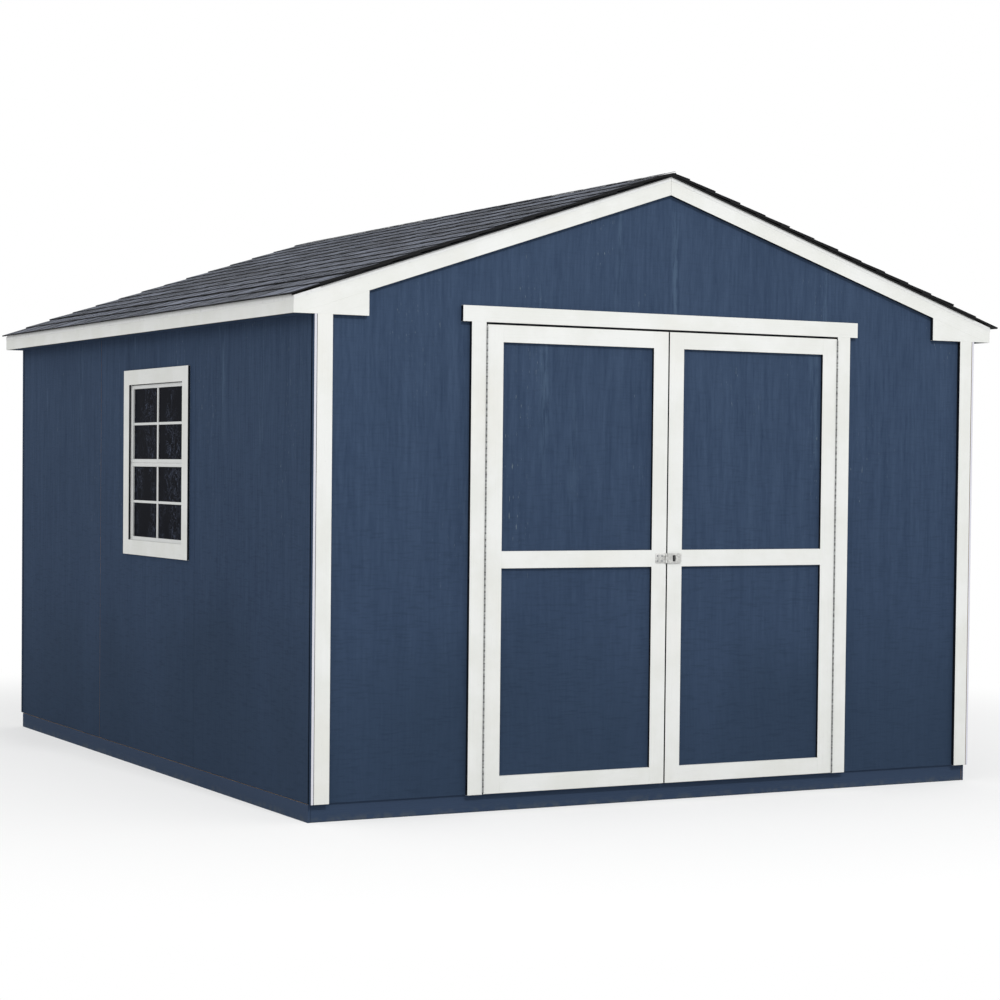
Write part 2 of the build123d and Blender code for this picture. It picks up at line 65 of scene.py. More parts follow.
# Floor frame
# A rim and joists of 2 by 4 lumber on edge, nailed together at the ends, with a thin skirt along each
# side that is flush with the wall panel above. The outer faces are painted with the walls, and the rest
# is left bare.

class Signal:
    """The value of one socket. Sums and products of signals add the Math nodes that work them out."""

    def __init__(self, graph, socket):
        self.graph = graph
        self.socket = socket

    def math(self, operation, other=0.0):
        return self.graph.node("ShaderNodeMath", {"operation": operation}, {0: self, 1: other})

    def __add__(self, other):
        return self.math("ADD", other)

    def __radd__(self, other):
        return self.math("ADD", other)

    def __sub__(self, other):
        return self.math("SUBTRACT", other)

    def __rsub__(self, other):
        return self.graph.node("ShaderNodeMath", {"operation": "SUBTRACT"}, {0: other, 1: self})

    def __mul__(self, other):
        return self.math("MULTIPLY", other)

    def __truediv__(self, other):
        return self.math("DIVIDE", other)

    def __abs__(self):
        return self.math("ABSOLUTE")

    def band(self, low, high):
        """Rises smoothly from 0 at low to 1 at high, or falls where low is the larger."""
        limits = {"Value": self, "From Min": low, "From Max": high}
        return self.graph.node("ShaderNodeMapRange", {"interpolation_type": "SMOOTHSTEP"}, limits)

    def output(self, name):
        return Signal(self.graph, self.socket.node.outputs[name])

    def stretched(self, *scale):
        return self.graph.node("ShaderNodeVectorMath", {"operation": "MULTIPLY"}, {0: self, 1: scale})

    def moved(self, offset):
        return self.graph.node("ShaderNodeVectorMath", {"operation": "ADD"}, {0: self, 1: offset})

    def axis(self, letter):
        return self.graph.node("ShaderNodeSeparateXYZ", None, {0: self}, letter)


class Graph:
    """A node tree written as expressions."""

    def __init__(self, tree):
        self.tree = tree

    def node(self, kind, settings=None, sockets=None, output=0):
        made = self.tree.nodes.new(kind)
        for name, value in (settings or {}).items():
            setattr(made, name, value)
        for key, value in (sockets or {}).items():
            if isinstance(value, Signal):
                self.tree.links.new(value.socket, made.inputs[key])
            else:
                made.inputs[key].default_value = value
        return Signal(self, made.outputs[output]) if made.outputs else None

    def vector(self, **parts):
        return self.node("ShaderNodeCombineXYZ", None, parts)


def srgb(red, green, blue):
    """A colour as it is read off a screen, as linear values."""
    parts = [value / 255 for value in (red, green, blue)]
    return tuple(p / 12.92 if p <= 0.04045 else ((p + 0.055) / 1.055) ** 2.4 for p in parts) + (1.0,)


class Finish(Graph):
    """A material: what covers one kind of surface."""

    def __init__(self, name):
        self.material = bpy.data.materials.new(name)
        self.material.use_nodes = True
        super().__init__(self.material.node_tree)
        self.tree.nodes.clear()

    def place(self):
        return self.node("ShaderNodeTexCoord", output="Object")

    def facing(self):
        return self.node("ShaderNodeTexCoord", output="Normal")

    def attribute(self, name, output="Vector"):
        return self.node("ShaderNodeAttribute", {"attribute_name": name}, output=output)

    def noise(self, vector, scale=1.0, detail=3.0, roughness=0.5, output=0):
        sockets = {"Vector": vector, "Scale": scale, "Detail": detail, "Roughness": roughness}
        return self.node("ShaderNodeTexNoise", None, sockets, output)

    def blend(self, first, second, amount):
        sockets = {0: amount, 6: first, 7: second}
        return self.node("ShaderNodeMix", {"data_type": "RGBA"}, sockets, 2)

    def bump(self, height, distance, strength):
        sockets = {"Height": height, "Distance": distance, "Strength": strength}
        return self.node("ShaderNodeBump", None, sockets)

    def cells(self, vector, scale=1.0, output="Color"):
        sockets = {"Vector": vector, "Scale": scale}
        return self.node("ShaderNodeTexVoronoi", None, sockets, output)

    def surface(self, colour, roughness, normal=None, **constants):
        sockets = {"Base Color": colour, "Roughness": roughness}
        if normal:
            sockets["Normal"] = normal
        for name, value in constants.items():
            sockets[name.replace("_", " ").title().replace("Ior", "IOR")] = value
        shader = self.node("ShaderNodeBsdfPrincipled", None, sockets)
        self.node("ShaderNodeOutputMaterial", None, {"Surface": shader})
        return self.material


SAME_PLACE = 1e-6
FLAT_ANGLE = math.radians(1)
SHARP_ANGLE = math.radians(25)


def round_edges(shape, edges, ease, segments=1):
    bmesh.ops.bevel(shape, geom=edges, offset=ease, segments=segments, profile=0.5, affect="EDGES",
                    clamp_overlap=True)


def no_edge(edge):
    return False


def eased_copy(node, ease, segments=1, flush=no_edge):
    """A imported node's mesh, merged, with its sharp edges eased except where they meet a neighbour flush."""
    shape = bmesh.new()
    shape.from_mesh(frame["nodes"][node].data)
    bmesh.ops.remove_doubles(shape, verts=shape.verts, dist=SAME_PLACE)
    bmesh.ops.dissolve_limit(shape, angle_limit=FLAT_ANGLE, verts=shape.verts, edges=shape.edges)
    if ease:
        folds = [edge for edge in shape.edges if len(edge.link_faces) == 2]
        sharp = [edge for edge in folds if edge.calc_face_angle(0) > SHARP_ANGLE and not flush(edge)]
        round_edges(shape, sharp, ease, segments)
    return shape


def separate_boards(shape):
    """The vertices of each board in a mesh that holds several."""
    waiting = set(shape.verts)
    boards = []
    while waiting:
        start = min(waiting, key=lambda vertex: vertex.index)
        found, front = {start}, [start]
        while front:
            for edge in front.pop().link_edges:
                for vertex in edge.verts:
                    if vertex not in found:
                        found.add(vertex)
                        front.append(vertex)
        waiting -= found
        boards.append(sorted(found, key=lambda vertex: vertex.index))
    return boards


PITH = 0.09


def mark_grain(shape, seed):
    """Stores each board's own coordinates, along the grain, across and through it, from a random start."""
    shape.verts.index_update()
    draw = random.Random(seed)
    grain = shape.verts.layers.float_vector.new("grain")
    for board in separate_boards(shape):
        edges = {edge for vertex in board for edge in vertex.link_edges}
        faces = {face for vertex in board for face in vertex.link_faces}
        longest = max(edges, key=lambda edge: (round(edge.calc_length(), 5), -edge.index))
        widest = max(faces, key=lambda face: (round(face.calc_area(), 6), -face.index))
        along = (longest.verts[1].co - longest.verts[0].co).normalized()
        through = widest.normal
        across = through.cross(along)
        start = Vector((draw.uniform(-20, 20), draw.uniform(-PITH, PITH), draw.uniform(0.02, PITH)))
        middle = sum((vertex.co for vertex in board), Vector()) / len(board)
        for vertex in board:
            place = vertex.co - middle
            vertex[grain] = Vector((place @ along, place @ across, place @ through)) + start


def linked_object(name, data):
    """A new object in the scene."""
    made = bpy.data.objects.new(name, data)
    bpy.context.scene.collection.objects.link(made)
    return made


def add_piece(name, mesh, body, nodes=()):
    """A finished mesh as a piece of the shed, riding on one of its bodies."""
    made = linked_object(name, mesh)
    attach(made, body)
    if nodes:
        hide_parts(*nodes)
    return made


def add_box(shape, low, high, ease=0.0):
    """A box between two corners, added to a mesh."""
    size = Vector(high) - Vector(low)
    middle = (Vector(high) + Vector(low)) / 2
    made = bmesh.ops.create_cube(shape, size=1.0, matrix=Matrix.LocRotScale(middle, None, size))
    if ease:
        edges = {edge for vertex in made["verts"] for edge in vertex.link_edges}
        round_edges(shape, list(edges), ease)


def settled_mesh(name, shape, material=None):
    """A shape that is done being worked on, as a mesh in one material."""
    mesh = bpy.data.meshes.new(name)
    shape.to_mesh(mesh)
    shape.free()
    if material:
        mesh.materials.append(material)
    return mesh


def dress(node, material, ease=0.0, segments=1, seed=None, flush=no_edge, extra=()):
    """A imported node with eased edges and, where a seed is given, grain that follows each board. Boxes are
    added to it where extra gives their corners."""
    shape = eased_copy(node, ease, segments, flush)
    for low, high in extra:
        add_box(shape, low, high)
    if seed is not None:
        mark_grain(shape, seed)
    name = node + "_finished"
    mesh = settled_mesh(name, shape, material)
    return add_piece(name, mesh, frame["nodes"][node]["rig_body"], [node])


NAVY = srgb(48, 63, 86)
NAVY_PALE = srgb(61, 77, 101)
# Navy darkened to stand for shade: painted shade in gaps, on board sides and on undersides.
NAVY_PAINTED_SHADE = srgb(16, 21, 30)
SPRUCE = srgb(216, 184, 138)
SPRUCE_DARK = srgb(178, 134, 84)


def wood_grain(finish, coordinates):
    """Growth rings and fibres of sawn lumber: their tones, and a height for the bump."""
    wander = finish.noise(coordinates.stretched(0.7, 6, 6), 1.0, 2, output="Color")
    warped = coordinates.moved(wander.stretched(0.0, 0.03, 0.03))
    sockets = {"Vector": warped, "Scale": 52.0, "Distortion": 1.2, "Detail": 2.0, "Detail Scale": 2.0}
    rings = finish.node("ShaderNodeTexWave", {"wave_type": "RINGS", "rings_direction": "X"}, sockets, "Fac")
    fibres = finish.noise(coordinates.stretched(5, 260, 260), 1.0, 4, 0.6)
    return rings, fibres


FRAME_FACE = 1.8185


def lumber_finish():
    """Bare spruce, with painted shade on the outer face of the framing where it shows in the gap behind the
    panels.
    """
    finish = Finish("bare_lumber")
    grain = finish.attribute("grain")
    rings, fibres = wood_grain(finish, grain)
    knots = finish.cells(grain.stretched(2.2, 11, 11), output="Distance").band(0.16, 0.06)
    boards = finish.noise(grain.stretched(0.05, 0.6, 0.6), 3.0, 1)
    tone = rings * 0.45 + fibres * 0.35 + boards * 0.5 - 0.15
    colour = finish.blend(SPRUCE, SPRUCE_DARK, tone)
    colour = finish.blend(colour, srgb(96, 60, 34), knots * 0.8)
    # Painted shade: the outermost face of the framing is coloured a near-black navy.
    outermost = abs(finish.place().axis("Y")).band(FRAME_FACE - 0.0005, FRAME_FACE)
    colour = finish.blend(colour, NAVY_PAINTED_SHADE, outermost)
    normal = finish.bump(fibres + rings * 0.3, 0.0006, 0.5)
    return finish.surface(colour, 0.62 + fibres * 0.2, normal, specular_ior_level=0.35)


def painted_lumber_finish():
    """Navy paint on the faces that look outward, with dust near the ground, and bare spruce inside."""
    finish = Finish("navy_lumber")
    place = finish.place()
    facing = finish.facing()
    outward = facing.axis("X") * place.axis("X") + facing.axis("Y") * place.axis("Y")
    grain = finish.attribute("grain")
    rings, fibres = wood_grain(finish, grain)
    bare = finish.blend(SPRUCE, SPRUCE_DARK, rings * 0.5 + fibres * 0.4)
    patches = finish.noise(grain.stretched(1.2, 9, 9), 1.0, 3)
    navy = finish.blend(NAVY, NAVY_PALE, fibres * 0.4 + patches * 0.35 - 0.12)
    dust = place.axis("Z").band(0.035, 0.0) * finish.noise(place, 30.0, 3).band(0.4, 0.7)
    navy = finish.blend(navy, srgb(86, 92, 96), dust * 0.5)
    colour = finish.blend(bare, navy, outward.band(0.2, 0.4))
    normal = finish.bump(fibres + rings * 0.5, 0.0005, 0.5)
    return finish.surface(colour, 0.7 + fibres * 0.15, normal, specular_ior_level=0.12)


bare_lumber = lumber_finish()
PANEL = 0.0095
SKIRT_GAP = 0.0015
frame_low, frame_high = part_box("floor_frame")
skirt_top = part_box("left_wall")[0].z - SKIRT_GAP
LUMBER_EASE = 0.003
skirt_in, skirt_out = frame_high.x, frame_high.x + PANEL
skirts = [((low_x, frame_low.y, 0.0), (high_x, frame_high.y, skirt_top))
          for low_x, high_x in ((-skirt_out, -skirt_in), (skirt_in, skirt_out))]
dress("floor_frame", painted_lumber_finish(), ease=LUMBER_EASE, seed=1, extra=skirts)


# Floor deck
# Plywood sheets laid across the joists with their face grain along the shed, and nailed down. The sheets
# meet over a joist with a narrow gap.

def cut_grooves(made, cutters):
    """Cuts narrow boxes, given by their two corners, out of a piece."""
    shape = bmesh.new()
    for low, high in cutters:
        add_box(shape, low, high)
    cutter = linked_object("grooves", settled_mesh("grooves", shape))
    cut = made.modifiers.new("grooves", "BOOLEAN")
    cut.operation = "DIFFERENCE"
    cut.object = cutter
    made.data = settled(made)
    bpy.data.objects.remove(cutter)


def settled(made):
    """The mesh that an object's modifiers give. The modifiers are then removed."""
    bpy.context.view_layer.update()
    mesh = bpy.data.meshes.new_from_object(made.evaluated_get(bpy.context.evaluated_depsgraph_get()))
    made.modifiers.clear()
    return mesh


def open_tree(name, **inputs):
    """An empty geometry node tree with the inputs that each kind of socket lists, and its input node."""
    tree = bpy.data.node_groups.new(name, "GeometryNodeTree")
    tree.interface.new_socket("Geometry", in_out="INPUT", socket_type="NodeSocketGeometry")
    for kind, titles in inputs.items():
        for title in titles:
            tree.interface.new_socket(title, in_out="INPUT", socket_type="NodeSocket" + kind)
    tree.interface.new_socket("Material", in_out="INPUT", socket_type="NodeSocketMaterial")
    tree.interface.new_socket("Geometry", in_out="OUTPUT", socket_type="NodeSocketGeometry")
    graph = Graph(tree)
    return graph, graph.node("NodeGroupInput")


def real_copies(graph, points, piece, **sockets):
    """Copies of a piece at points, as real geometry."""
    sockets.update({"Points": points, "Instance": piece})
    placed = graph.node("GeometryNodeInstanceOnPoints", None, sockets)
    return graph.node("GeometryNodeRealizeInstances", None, {"Geometry": placed})


def close_tree(graph, given, geometry):
    """Ends a tree with its geometry in the material that it is given."""
    sockets = {"Geometry": geometry, "Material": given.output("Material")}
    covered = graph.node("GeometryNodeSetMaterial", None, sockets)
    graph.node("NodeGroupOutput", None, {"Geometry": covered})
    return graph.tree


def nail_tree():
    """Geometry nodes that put a domed head at each point, turned to face the way that the point does."""
    graph, given = open_tree("nail_heads", Float=("Head radius", "Head height"))
    facing = graph.node("GeometryNodeInputNamedAttribute", {"data_type": "FLOAT_VECTOR"},
                        {"Name": "facing"})
    turn = graph.node("FunctionNodeAlignRotationToVector", {"axis": "Z"}, {"Vector": facing})
    radius = given.output("Head radius")
    dome = {"Vertices": 10, "Side Segments": 2, "Radius Top": radius * 0.55, "Radius Bottom": radius,
            "Depth": given.output("Head height")}
    head = graph.node("GeometryNodeMeshCone", {"fill_type": "TRIANGLE_FAN"}, dome)
    points = graph.node("GeometryNodeMeshToPoints", None, {"Mesh": given.output("Geometry")})
    return close_tree(graph, given, real_copies(graph, points, head, Rotation=turn))


def run_tree(mesh, tree, values):
    """The mesh that a geometry node tree makes from another mesh, with the tree's named inputs set."""
    source = linked_object("source", mesh)
    grown = source.modifiers.new("grown", "NODES")
    grown.node_group = tree
    for item in tree.interface.items_tree:
        if item.item_type == "SOCKET" and item.in_out == "INPUT" and item.name in values:
            grown[item.identifier] = values[item.name]
    result = settled(source)
    bpy.data.objects.remove(source)
    return result


def facing_points(spots):
    """A mesh of loose points, each with the way that it faces."""
    mesh = bpy.data.meshes.new("spots")
    mesh.from_pydata([point for point, _ in spots], [], [])
    facing = mesh.attributes.new("facing", "FLOAT_VECTOR", "POINT")
    for number, (_, direction) in enumerate(spots):
        facing.data[number].vector = direction
    return mesh


def add_nails(name, spots, body, material, radius, height):
    values = {"Head radius": radius, "Head height": height, "Material": material}
    return add_piece(name, run_tree(facing_points(spots), nail_heads, values), body)


def steps(low, high, spacing):
    """Even places from low to high, about as far apart as spacing."""
    count = max(1, round((high - low) / spacing))
    return [low + (high - low) * number / count for number in range(count + 1)]


def zinc_finish():
    finish = Finish("zinc")
    place = finish.place()
    spangle = finish.cells(place, 260.0)
    tone = spangle.axis("X") * 0.5 + finish.noise(place, 40.0) * 0.5
    colour = finish.blend(srgb(128, 130, 132), srgb(182, 184, 186), tone)
    return finish.surface(colour, 0.38 + tone * 0.2, metallic=0.85)


def plywood_finish():
    finish = Finish("plywood")
    place = finish.place()
    wander = finish.noise(place.stretched(2.4, 0.35, 1.0), 1.0, 3)
    sockets = {"Vector": place.stretched(1, 0.04, 1), "Scale": 5.0, "Distortion": 9.0, "Detail": 3.0,
               "Detail Scale": 0.6}
    veins = finish.node("ShaderNodeTexWave", {"wave_type": "BANDS", "bands_direction": "X"}, sockets, "Fac")
    fibres = finish.noise(place.stretched(220, 6, 40), 1.0, 4, 0.6)
    tone = veins * 0.35 + fibres * 0.4 + wander * 0.2
    colour = finish.blend(srgb(219, 190, 146), srgb(186, 146, 98), tone)
    plies = (place.axis("Z") * 2100.0).math("SINE")
    edge = abs(finish.facing().axis("Z")).band(0.5, 0.3)
    colour = finish.blend(colour, srgb(150, 108, 66), edge * (plies * 0.5 + 0.5))
    normal = finish.bump(fibres, 0.0004, 0.4)
    return finish.surface(colour, 0.6 + fibres * 0.2, normal, specular_ior_level=0.3)


nail_heads = nail_tree()
zinc = zinc_finish()
plywood = plywood_finish()
deck = dress("floor_deck", plywood)
deck_low, deck_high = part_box("floor_deck")
SHEET = 1.2192
SEAM = 0.002
SEAM_DEPTH = 0.012
CUT_ROOM = 0.01
seams = [((deck_low.x - CUT_ROOM, y, deck_high.z - SEAM_DEPTH),
          (deck_high.x + CUT_ROOM, y + SEAM, deck_high.z + CUT_ROOM))
         for y in (deck_low.y + SHEET, deck_low.y + 2 * SHEET)]
cut_grooves(deck, seams)
DECK_ROW_PITCH = 0.52
DECK_NAIL_PITCH = 0.2
deck_rows = steps(deck_low.y + 0.02, deck_high.y - 0.02, DECK_ROW_PITCH)
deck_columns = steps(deck_low.x + 0.04, deck_high.x - 0.04, DECK_NAIL_PITCH)
deck_spots = [((x, y, deck_high.z), (0, 0, 1)) for y in deck_rows for x in deck_columns]
add_nails("floor_deck_nails", deck_spots, "shed", zinc, radius=0.0045, height=0.001)


# Wall framing and trusses
# Plates, studs, rafters and chords are 2 by 4 spruce, sawn square and nailed. Each truss is held together
# by strand board gussets that are nailed to both of its faces.

def strand_board_finish():
    finish = Finish("strand_board")
    place = finish.place()
    tones = []
    for number, turn in enumerate((0.3, 1.1, 2.0, 2.7)):
        sockets = {"Vector": place, "Axis": (0.3 * number, 0.4, 1.0), "Angle": turn}
        turned = finish.node("ShaderNodeVectorRotate", {"rotation_type": "AXIS_ANGLE"}, sockets)
        tones.append(finish.cells(turned.stretched(11, 52, 52)).axis("X"))
    chosen = finish.noise(place, 26.0, 2)
    mixed = tones[0] * chosen.band(0.55, 0.45) + tones[1] * chosen.band(0.45, 0.55)
    mixed = mixed * 0.6 + tones[2] * tones[3] * 0.6
    fibres = finish.noise(place, 340.0, 3, 0.6)
    colour = finish.blend(srgb(222, 190, 140), srgb(163, 118, 70), mixed + fibres * 0.3 - 0.1)
    normal = finish.bump(mixed + fibres * 0.5, 0.0009, 0.5)
    return finish.surface(colour, 0.58 + fibres * 0.2, normal, specular_ior_level=0.3)


strand_board = strand_board_finish()
PANEL_EASE = 0.0008
for seed, node in enumerate(("wall_plates", "wall_studs", "gable_studs", "roof_rafters", "truss_chords")):
    dress(node, bare_lumber, ease=LUMBER_EASE, seed=10 + seed)
dress("truss_gussets", strand_board, ease=PANEL_EASE)


# Siding
# Panels of pressed wood strands, 9.5 mm thick, with a wood grain embossed in the outer face and painted
# navy. The panels are 4 ft wide, meet with a shiplap edge and are nailed to the studs. The inner face is
# left bare.

CORNER_FACE = 1.8475
SIDE_PANEL_INNER = 1.5144


def siding_finish():
    """Navy paint on panels that are bare inside. It is lighter towards the top and darker low down, partly as
    painted skylight and shade, and has painted glints on the upper wall. The side panels' cut edges are pale
    where they show beside the corner boards."""
    finish = Finish("navy_siding")
    place = finish.place()
    facing = finish.facing()
    outward = facing.axis("X") * place.axis("X") + facing.axis("Y") * place.axis("Y")
    height = place.axis("Z")
    fibres = finish.noise(place.stretched(130, 130, 3.4), 1.0, 4, 0.62)
    streaks = finish.noise(place.stretched(26, 26, 1.1), 1.0, 4, 0.65)
    patches = finish.noise(place.stretched(1.9, 1.9, 0.8), 1.0, 3, 0.5)
    warp = finish.noise(place.stretched(3.1, 3.1, 0.9), 1.0, 3)
    drift = finish.noise(place.stretched(12, 12, 3), 1.0, 2, output="Color")
    across = place.axis("X") + place.axis("Y")
    wander = across * 300.0 + warp * 120.0
    rings = wander.math("SINE")
    wavy = place.stretched(16, 16, 150).moved(drift.stretched(0.0, 0.0, 1.5))
    ticks = finish.noise(wavy, 1.0, 3).band(0.48, 0.72)
    threads = finish.noise(place.stretched(70, 70, 7).moved((3.0, 9.0, 1.0)), 1.0, 4, 0.65)
    marked = height.band(0.2, 1.7) * 0.8 + 0.4
    mottled = streaks * 1.1 + threads * 1.5 + fibres * 0.5 - 1.55
    # Lighter towards the top: partly painted light from the sky, partly the paint's own tone.
    tone = height.band(0.0, 2.3) * 0.35 + patches * 0.4 + mottled * marked + rings * 0.05 + 0.08
    colour = finish.blend(NAVY, NAVY_PALE, tone)
    # Darker towards the bottom: partly painted shade.
    darker_low = (patches * -1.0 + height.band(1.3, 0.2)).band(-0.1, 0.6)
    colour = finish.blend(colour, srgb(40, 54, 70), darker_low * 0.4)
    colour = finish.blend(colour, srgb(36, 49, 67), ticks * (0.1 + height.band(1.9, 0.6) * 0.2))
    # Pale glints on the upper wall: painted highlight.
    pale = finish.noise(place.stretched(11, 11, 0.5).moved((7.1, 2.0, 0.6)), 1.0, 2, 0.6).band(0.58, 0.75)
    painted_glints = pale * threads.band(0.4, 0.6) * height.band(0.8, 1.9)
    colour = finish.blend(colour, srgb(84, 104, 126), painted_glints * 0.45)
    scratches = finish.noise(place.stretched(170, 170, 26), 1.0, 2, 0.6).band(0.66, 0.76)
    worn = finish.noise(place.stretched(3.6, 3.6, 1.5).moved((4.2, 1.0, 0.3)), 1.0, 2).band(0.53, 0.66)
    colour = finish.blend(colour, srgb(132, 146, 150), scratches * worn * height.band(0.6, 1.4) * 0.7)
    strands = finish.cells(place.stretched(30, 30, 9))
    bare = finish.blend(srgb(190, 156, 112), srgb(143, 108, 70), strands.axis("X") * 0.8 + fibres * 0.3)
    colour = finish.blend(bare, colour, outward.band(-0.3, -0.2))
    panel_edge = abs(place.axis("Y")).band(CORNER_FACE - 0.001, CORNER_FACE)
    end_on = abs(facing.axis("Y")).band(0.4, 0.6)
    corner = abs(place.axis("X")).band(SIDE_PANEL_INNER - 0.0006, SIDE_PANEL_INNER)
    colour = finish.blend(colour, srgb(214, 214, 222), panel_edge * end_on * corner)
    normal = finish.bump(fibres + rings * 0.08 + ticks * -0.3, 0.0011, 0.6)
    return finish.surface(colour, 0.78 + fibres * 0.2, normal, specular_ior_level=0.06)


navy_siding = siding_finish()
HAIRLINE = 0.0016
LAP_DEPTH = 0.005
LAP = 0.002
SEAM_SEEN = 0.001
PANEL_JOINT = 0.61
SIDE_JOINT_TOP = 2.2
BACK_JOINT_TOP = 2.7
panel_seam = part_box("front_gable_wall")[0].z
trim_low, trim_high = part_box("corner_trims")


def on_panel_seam(edge):
    """Edges where the front panels and the gable panel over them are drawn flush."""
    return all(abs(vertex.co.z - panel_seam) < SEAM_SEEN for vertex in edge.verts)


def forward_edges(side):
    """The side panel runs on past the front and back walls to the faces of the corner boards."""
    wall_low, wall_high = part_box("right_wall")
    outer, inner = side * wall_high.x, side * (wall_high.x - PANEL)
    low_x, high_x = sorted((outer, inner))
    runs = ((trim_low.y, wall_low.y + LAP), (wall_high.y - LAP, trim_high.y))
    return [((low_x, low_y, wall_low.z), (high_x, high_y, trim_high.z)) for low_y, high_y in runs]


wall_faces = {}
for node in ("front_left_wall", "front_right_wall", "front_gable_wall", "back_wall"):
    wall_faces[node] = dress(node, navy_siding, ease=PANEL_EASE, flush=on_panel_seam)
for node, side in (("left_wall", -1), ("right_wall", 1)):
    wall_faces[node] = dress(node, navy_siding, ease=PANEL_EASE, extra=forward_edges(side))
wall_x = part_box("right_wall")[1].x
back_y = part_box("back_wall")[1].y
for node, face in (("left_wall", -wall_x), ("right_wall", wall_x)):
    joints = [((face - LAP_DEPTH, y, 0.0), (face + LAP_DEPTH, y + HAIRLINE, SIDE_JOINT_TOP))
              for y in (-PANEL_JOINT, PANEL_JOINT)]
    cut_grooves(wall_faces[node], joints)
joints = [((x, back_y - LAP_DEPTH, 0.0), (x + HAIRLINE, back_y + LAP_DEPTH, BACK_JOINT_TOP))
          for x in (-PANEL_JOINT, PANEL_JOINT)]
cut_grooves(wall_faces["back_wall"], joints)


# White trim
# Strand boards painted white and nailed through the siding: corner boards, door surround, rakes, eave
# returns, fascia and the boards round the window. The corner boards stop against the side panel, whose
# edge shows beside them. The sideways faces of the boards on the front and back, the edges of the window
# boards and all undersides are a navy darkened with painted shade.

def white_finish():
    """White paint, with painted shade in a dark navy on the boards' side faces and undersides."""
    finish = Finish("white_trim")
    grain = finish.attribute("grain")
    place = finish.place()
    facing = finish.facing()
    fibres = finish.noise(grain.stretched(7, 190, 190), 1.0, 4, 0.6)
    rings, _ = wood_grain(finish, grain)
    mottle = finish.noise(place, 5.0, 4, 0.6)
    warm = finish.noise(place.moved((3.0, 1.0, 2.0)), 2.4, 3)
    colour = finish.blend(srgb(225, 226, 222), srgb(231, 232, 230), mottle.band(0.35, 0.65))
    colour = finish.blend(colour, srgb(225, 221, 212), warm.band(0.5, 0.75) * 0.3)
    colour = finish.blend(colour, srgb(205, 205, 204), fibres.band(0.55, 0.85) * 0.3)
    specks = finish.noise(place, 160.0, 2).band(0.7, 0.78)
    colour = finish.blend(colour, srgb(178, 178, 176), specks * 0.25)
    # Painted shade: side faces and undersides take a near-black navy in place of the shade that falls on
    # them.
    sideways = abs(facing.axis("X")).band(0.75, 0.85)
    lengthways = abs(facing.axis("Y")).band(0.75, 0.85)
    front_board = sideways * abs(place.axis("X")).band(1.53, 1.52)
    window_board = lengthways * abs(place.axis("Y")).band(0.9, 0.8)
    underside = facing.axis("Z").band(-0.7, -0.8)
    colour = finish.blend(colour, NAVY_PAINTED_SHADE, front_board + window_board + underside)
    normal = finish.bump(fibres + rings * 0.25, 0.0007, 0.45)
    return finish.surface(colour, 0.55 + fibres * 0.15, normal, specular_ior_level=0.2)


white_trim = white_finish()
TRIM_EASE = 0.0006
TRIM_NODES = ("doorway_side_trims", "doorway_header_trim", "rake_boards", "eave_returns", "fascia_boards",
              "window_trim")
for seed, node in enumerate(TRIM_NODES):
    dress(node, white_trim, ease=TRIM_EASE, seed=30 + seed)
dress("soffit_boards", navy_siding, ease=TRIM_EASE)
CORNER_WIDTH = 0.0635
CORNER_JOINT = 0.0022
corner_outer = wall_x - PANEL - CORNER_JOINT
corner_inner = corner_outer + CORNER_JOINT - CORNER_WIDTH
corner_boards = bmesh.new()
for low_x, high_x in ((-corner_outer, -corner_inner), (corner_inner, corner_outer)):
    for low_y, high_y in ((trim_low.y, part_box("front_left_wall")[0].y), (back_y, trim_high.y)):
        add_box(corner_boards, (low_x, low_y, trim_low.z), (high_x, high_y, trim_high.z), ease=TRIM_EASE)
mark_grain(corner_boards, 38)
corner_mesh = settled_mesh("corner_boards", corner_boards, white_trim)
add_piece("corner_boards", corner_mesh, "shed", ["corner_trims"])


# Roof boards and drip edges
# Strand board sheets nailed to the trusses. A bent white metal strip covers their edges at the eaves and
# the rakes, and sheds the rain clear of the boards. At the eaves it has a folded hem that the first
# course lies on.

def coated_metal_finish():
    finish = Finish("white_coated_metal")
    place = finish.place()
    waves = finish.noise(place, 3.0, 2)
    dust = finish.noise(place, 60.0, 3).band(0.5, 0.8)
    colour = finish.blend(srgb(230, 231, 230), srgb(205, 206, 206), dust * 0.5 + waves * 0.2)
    normal = finish.bump(waves, 0.004, 0.2)
    return finish.surface(colour, 0.38 + dust * 0.15, normal, specular_ior_level=0.4)


coated_metal = coated_metal_finish()
for node in ("left_roof_boards", "right_roof_boards"):
    dress(node, strand_board, ease=PANEL_EASE)
SLOPE_ANGLE = math.atan(1 / 3)
HEM_RISE = 0.006
HEM_DROP = 0.014
HEM_THICK = 0.002
HEM_PROUD = 0.0006
drip_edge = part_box("roof_drip_edges")[1].x + HEM_PROUD
fascia_low, fascia_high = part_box("fascia_boards")
deck_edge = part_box("left_roof_boards")[1].z - drip_edge * math.tan(SLOPE_ANGLE)
hems = [((low_x, fascia_low.y, deck_edge - HEM_DROP),
         (low_x + HEM_THICK, fascia_high.y, deck_edge + HEM_RISE))
        for low_x in (-drip_edge, drip_edge - HEM_THICK)]
dress("roof_drip_edges", coated_metal, extra=hems)


# Shingles
# Laminated asphalt strips in charcoal granules, laid on an underlay. Each course is a row of strips that
# laps the one below, with thin tabs of uneven width bonded over its lower part. The butts show as long
# dark lines.

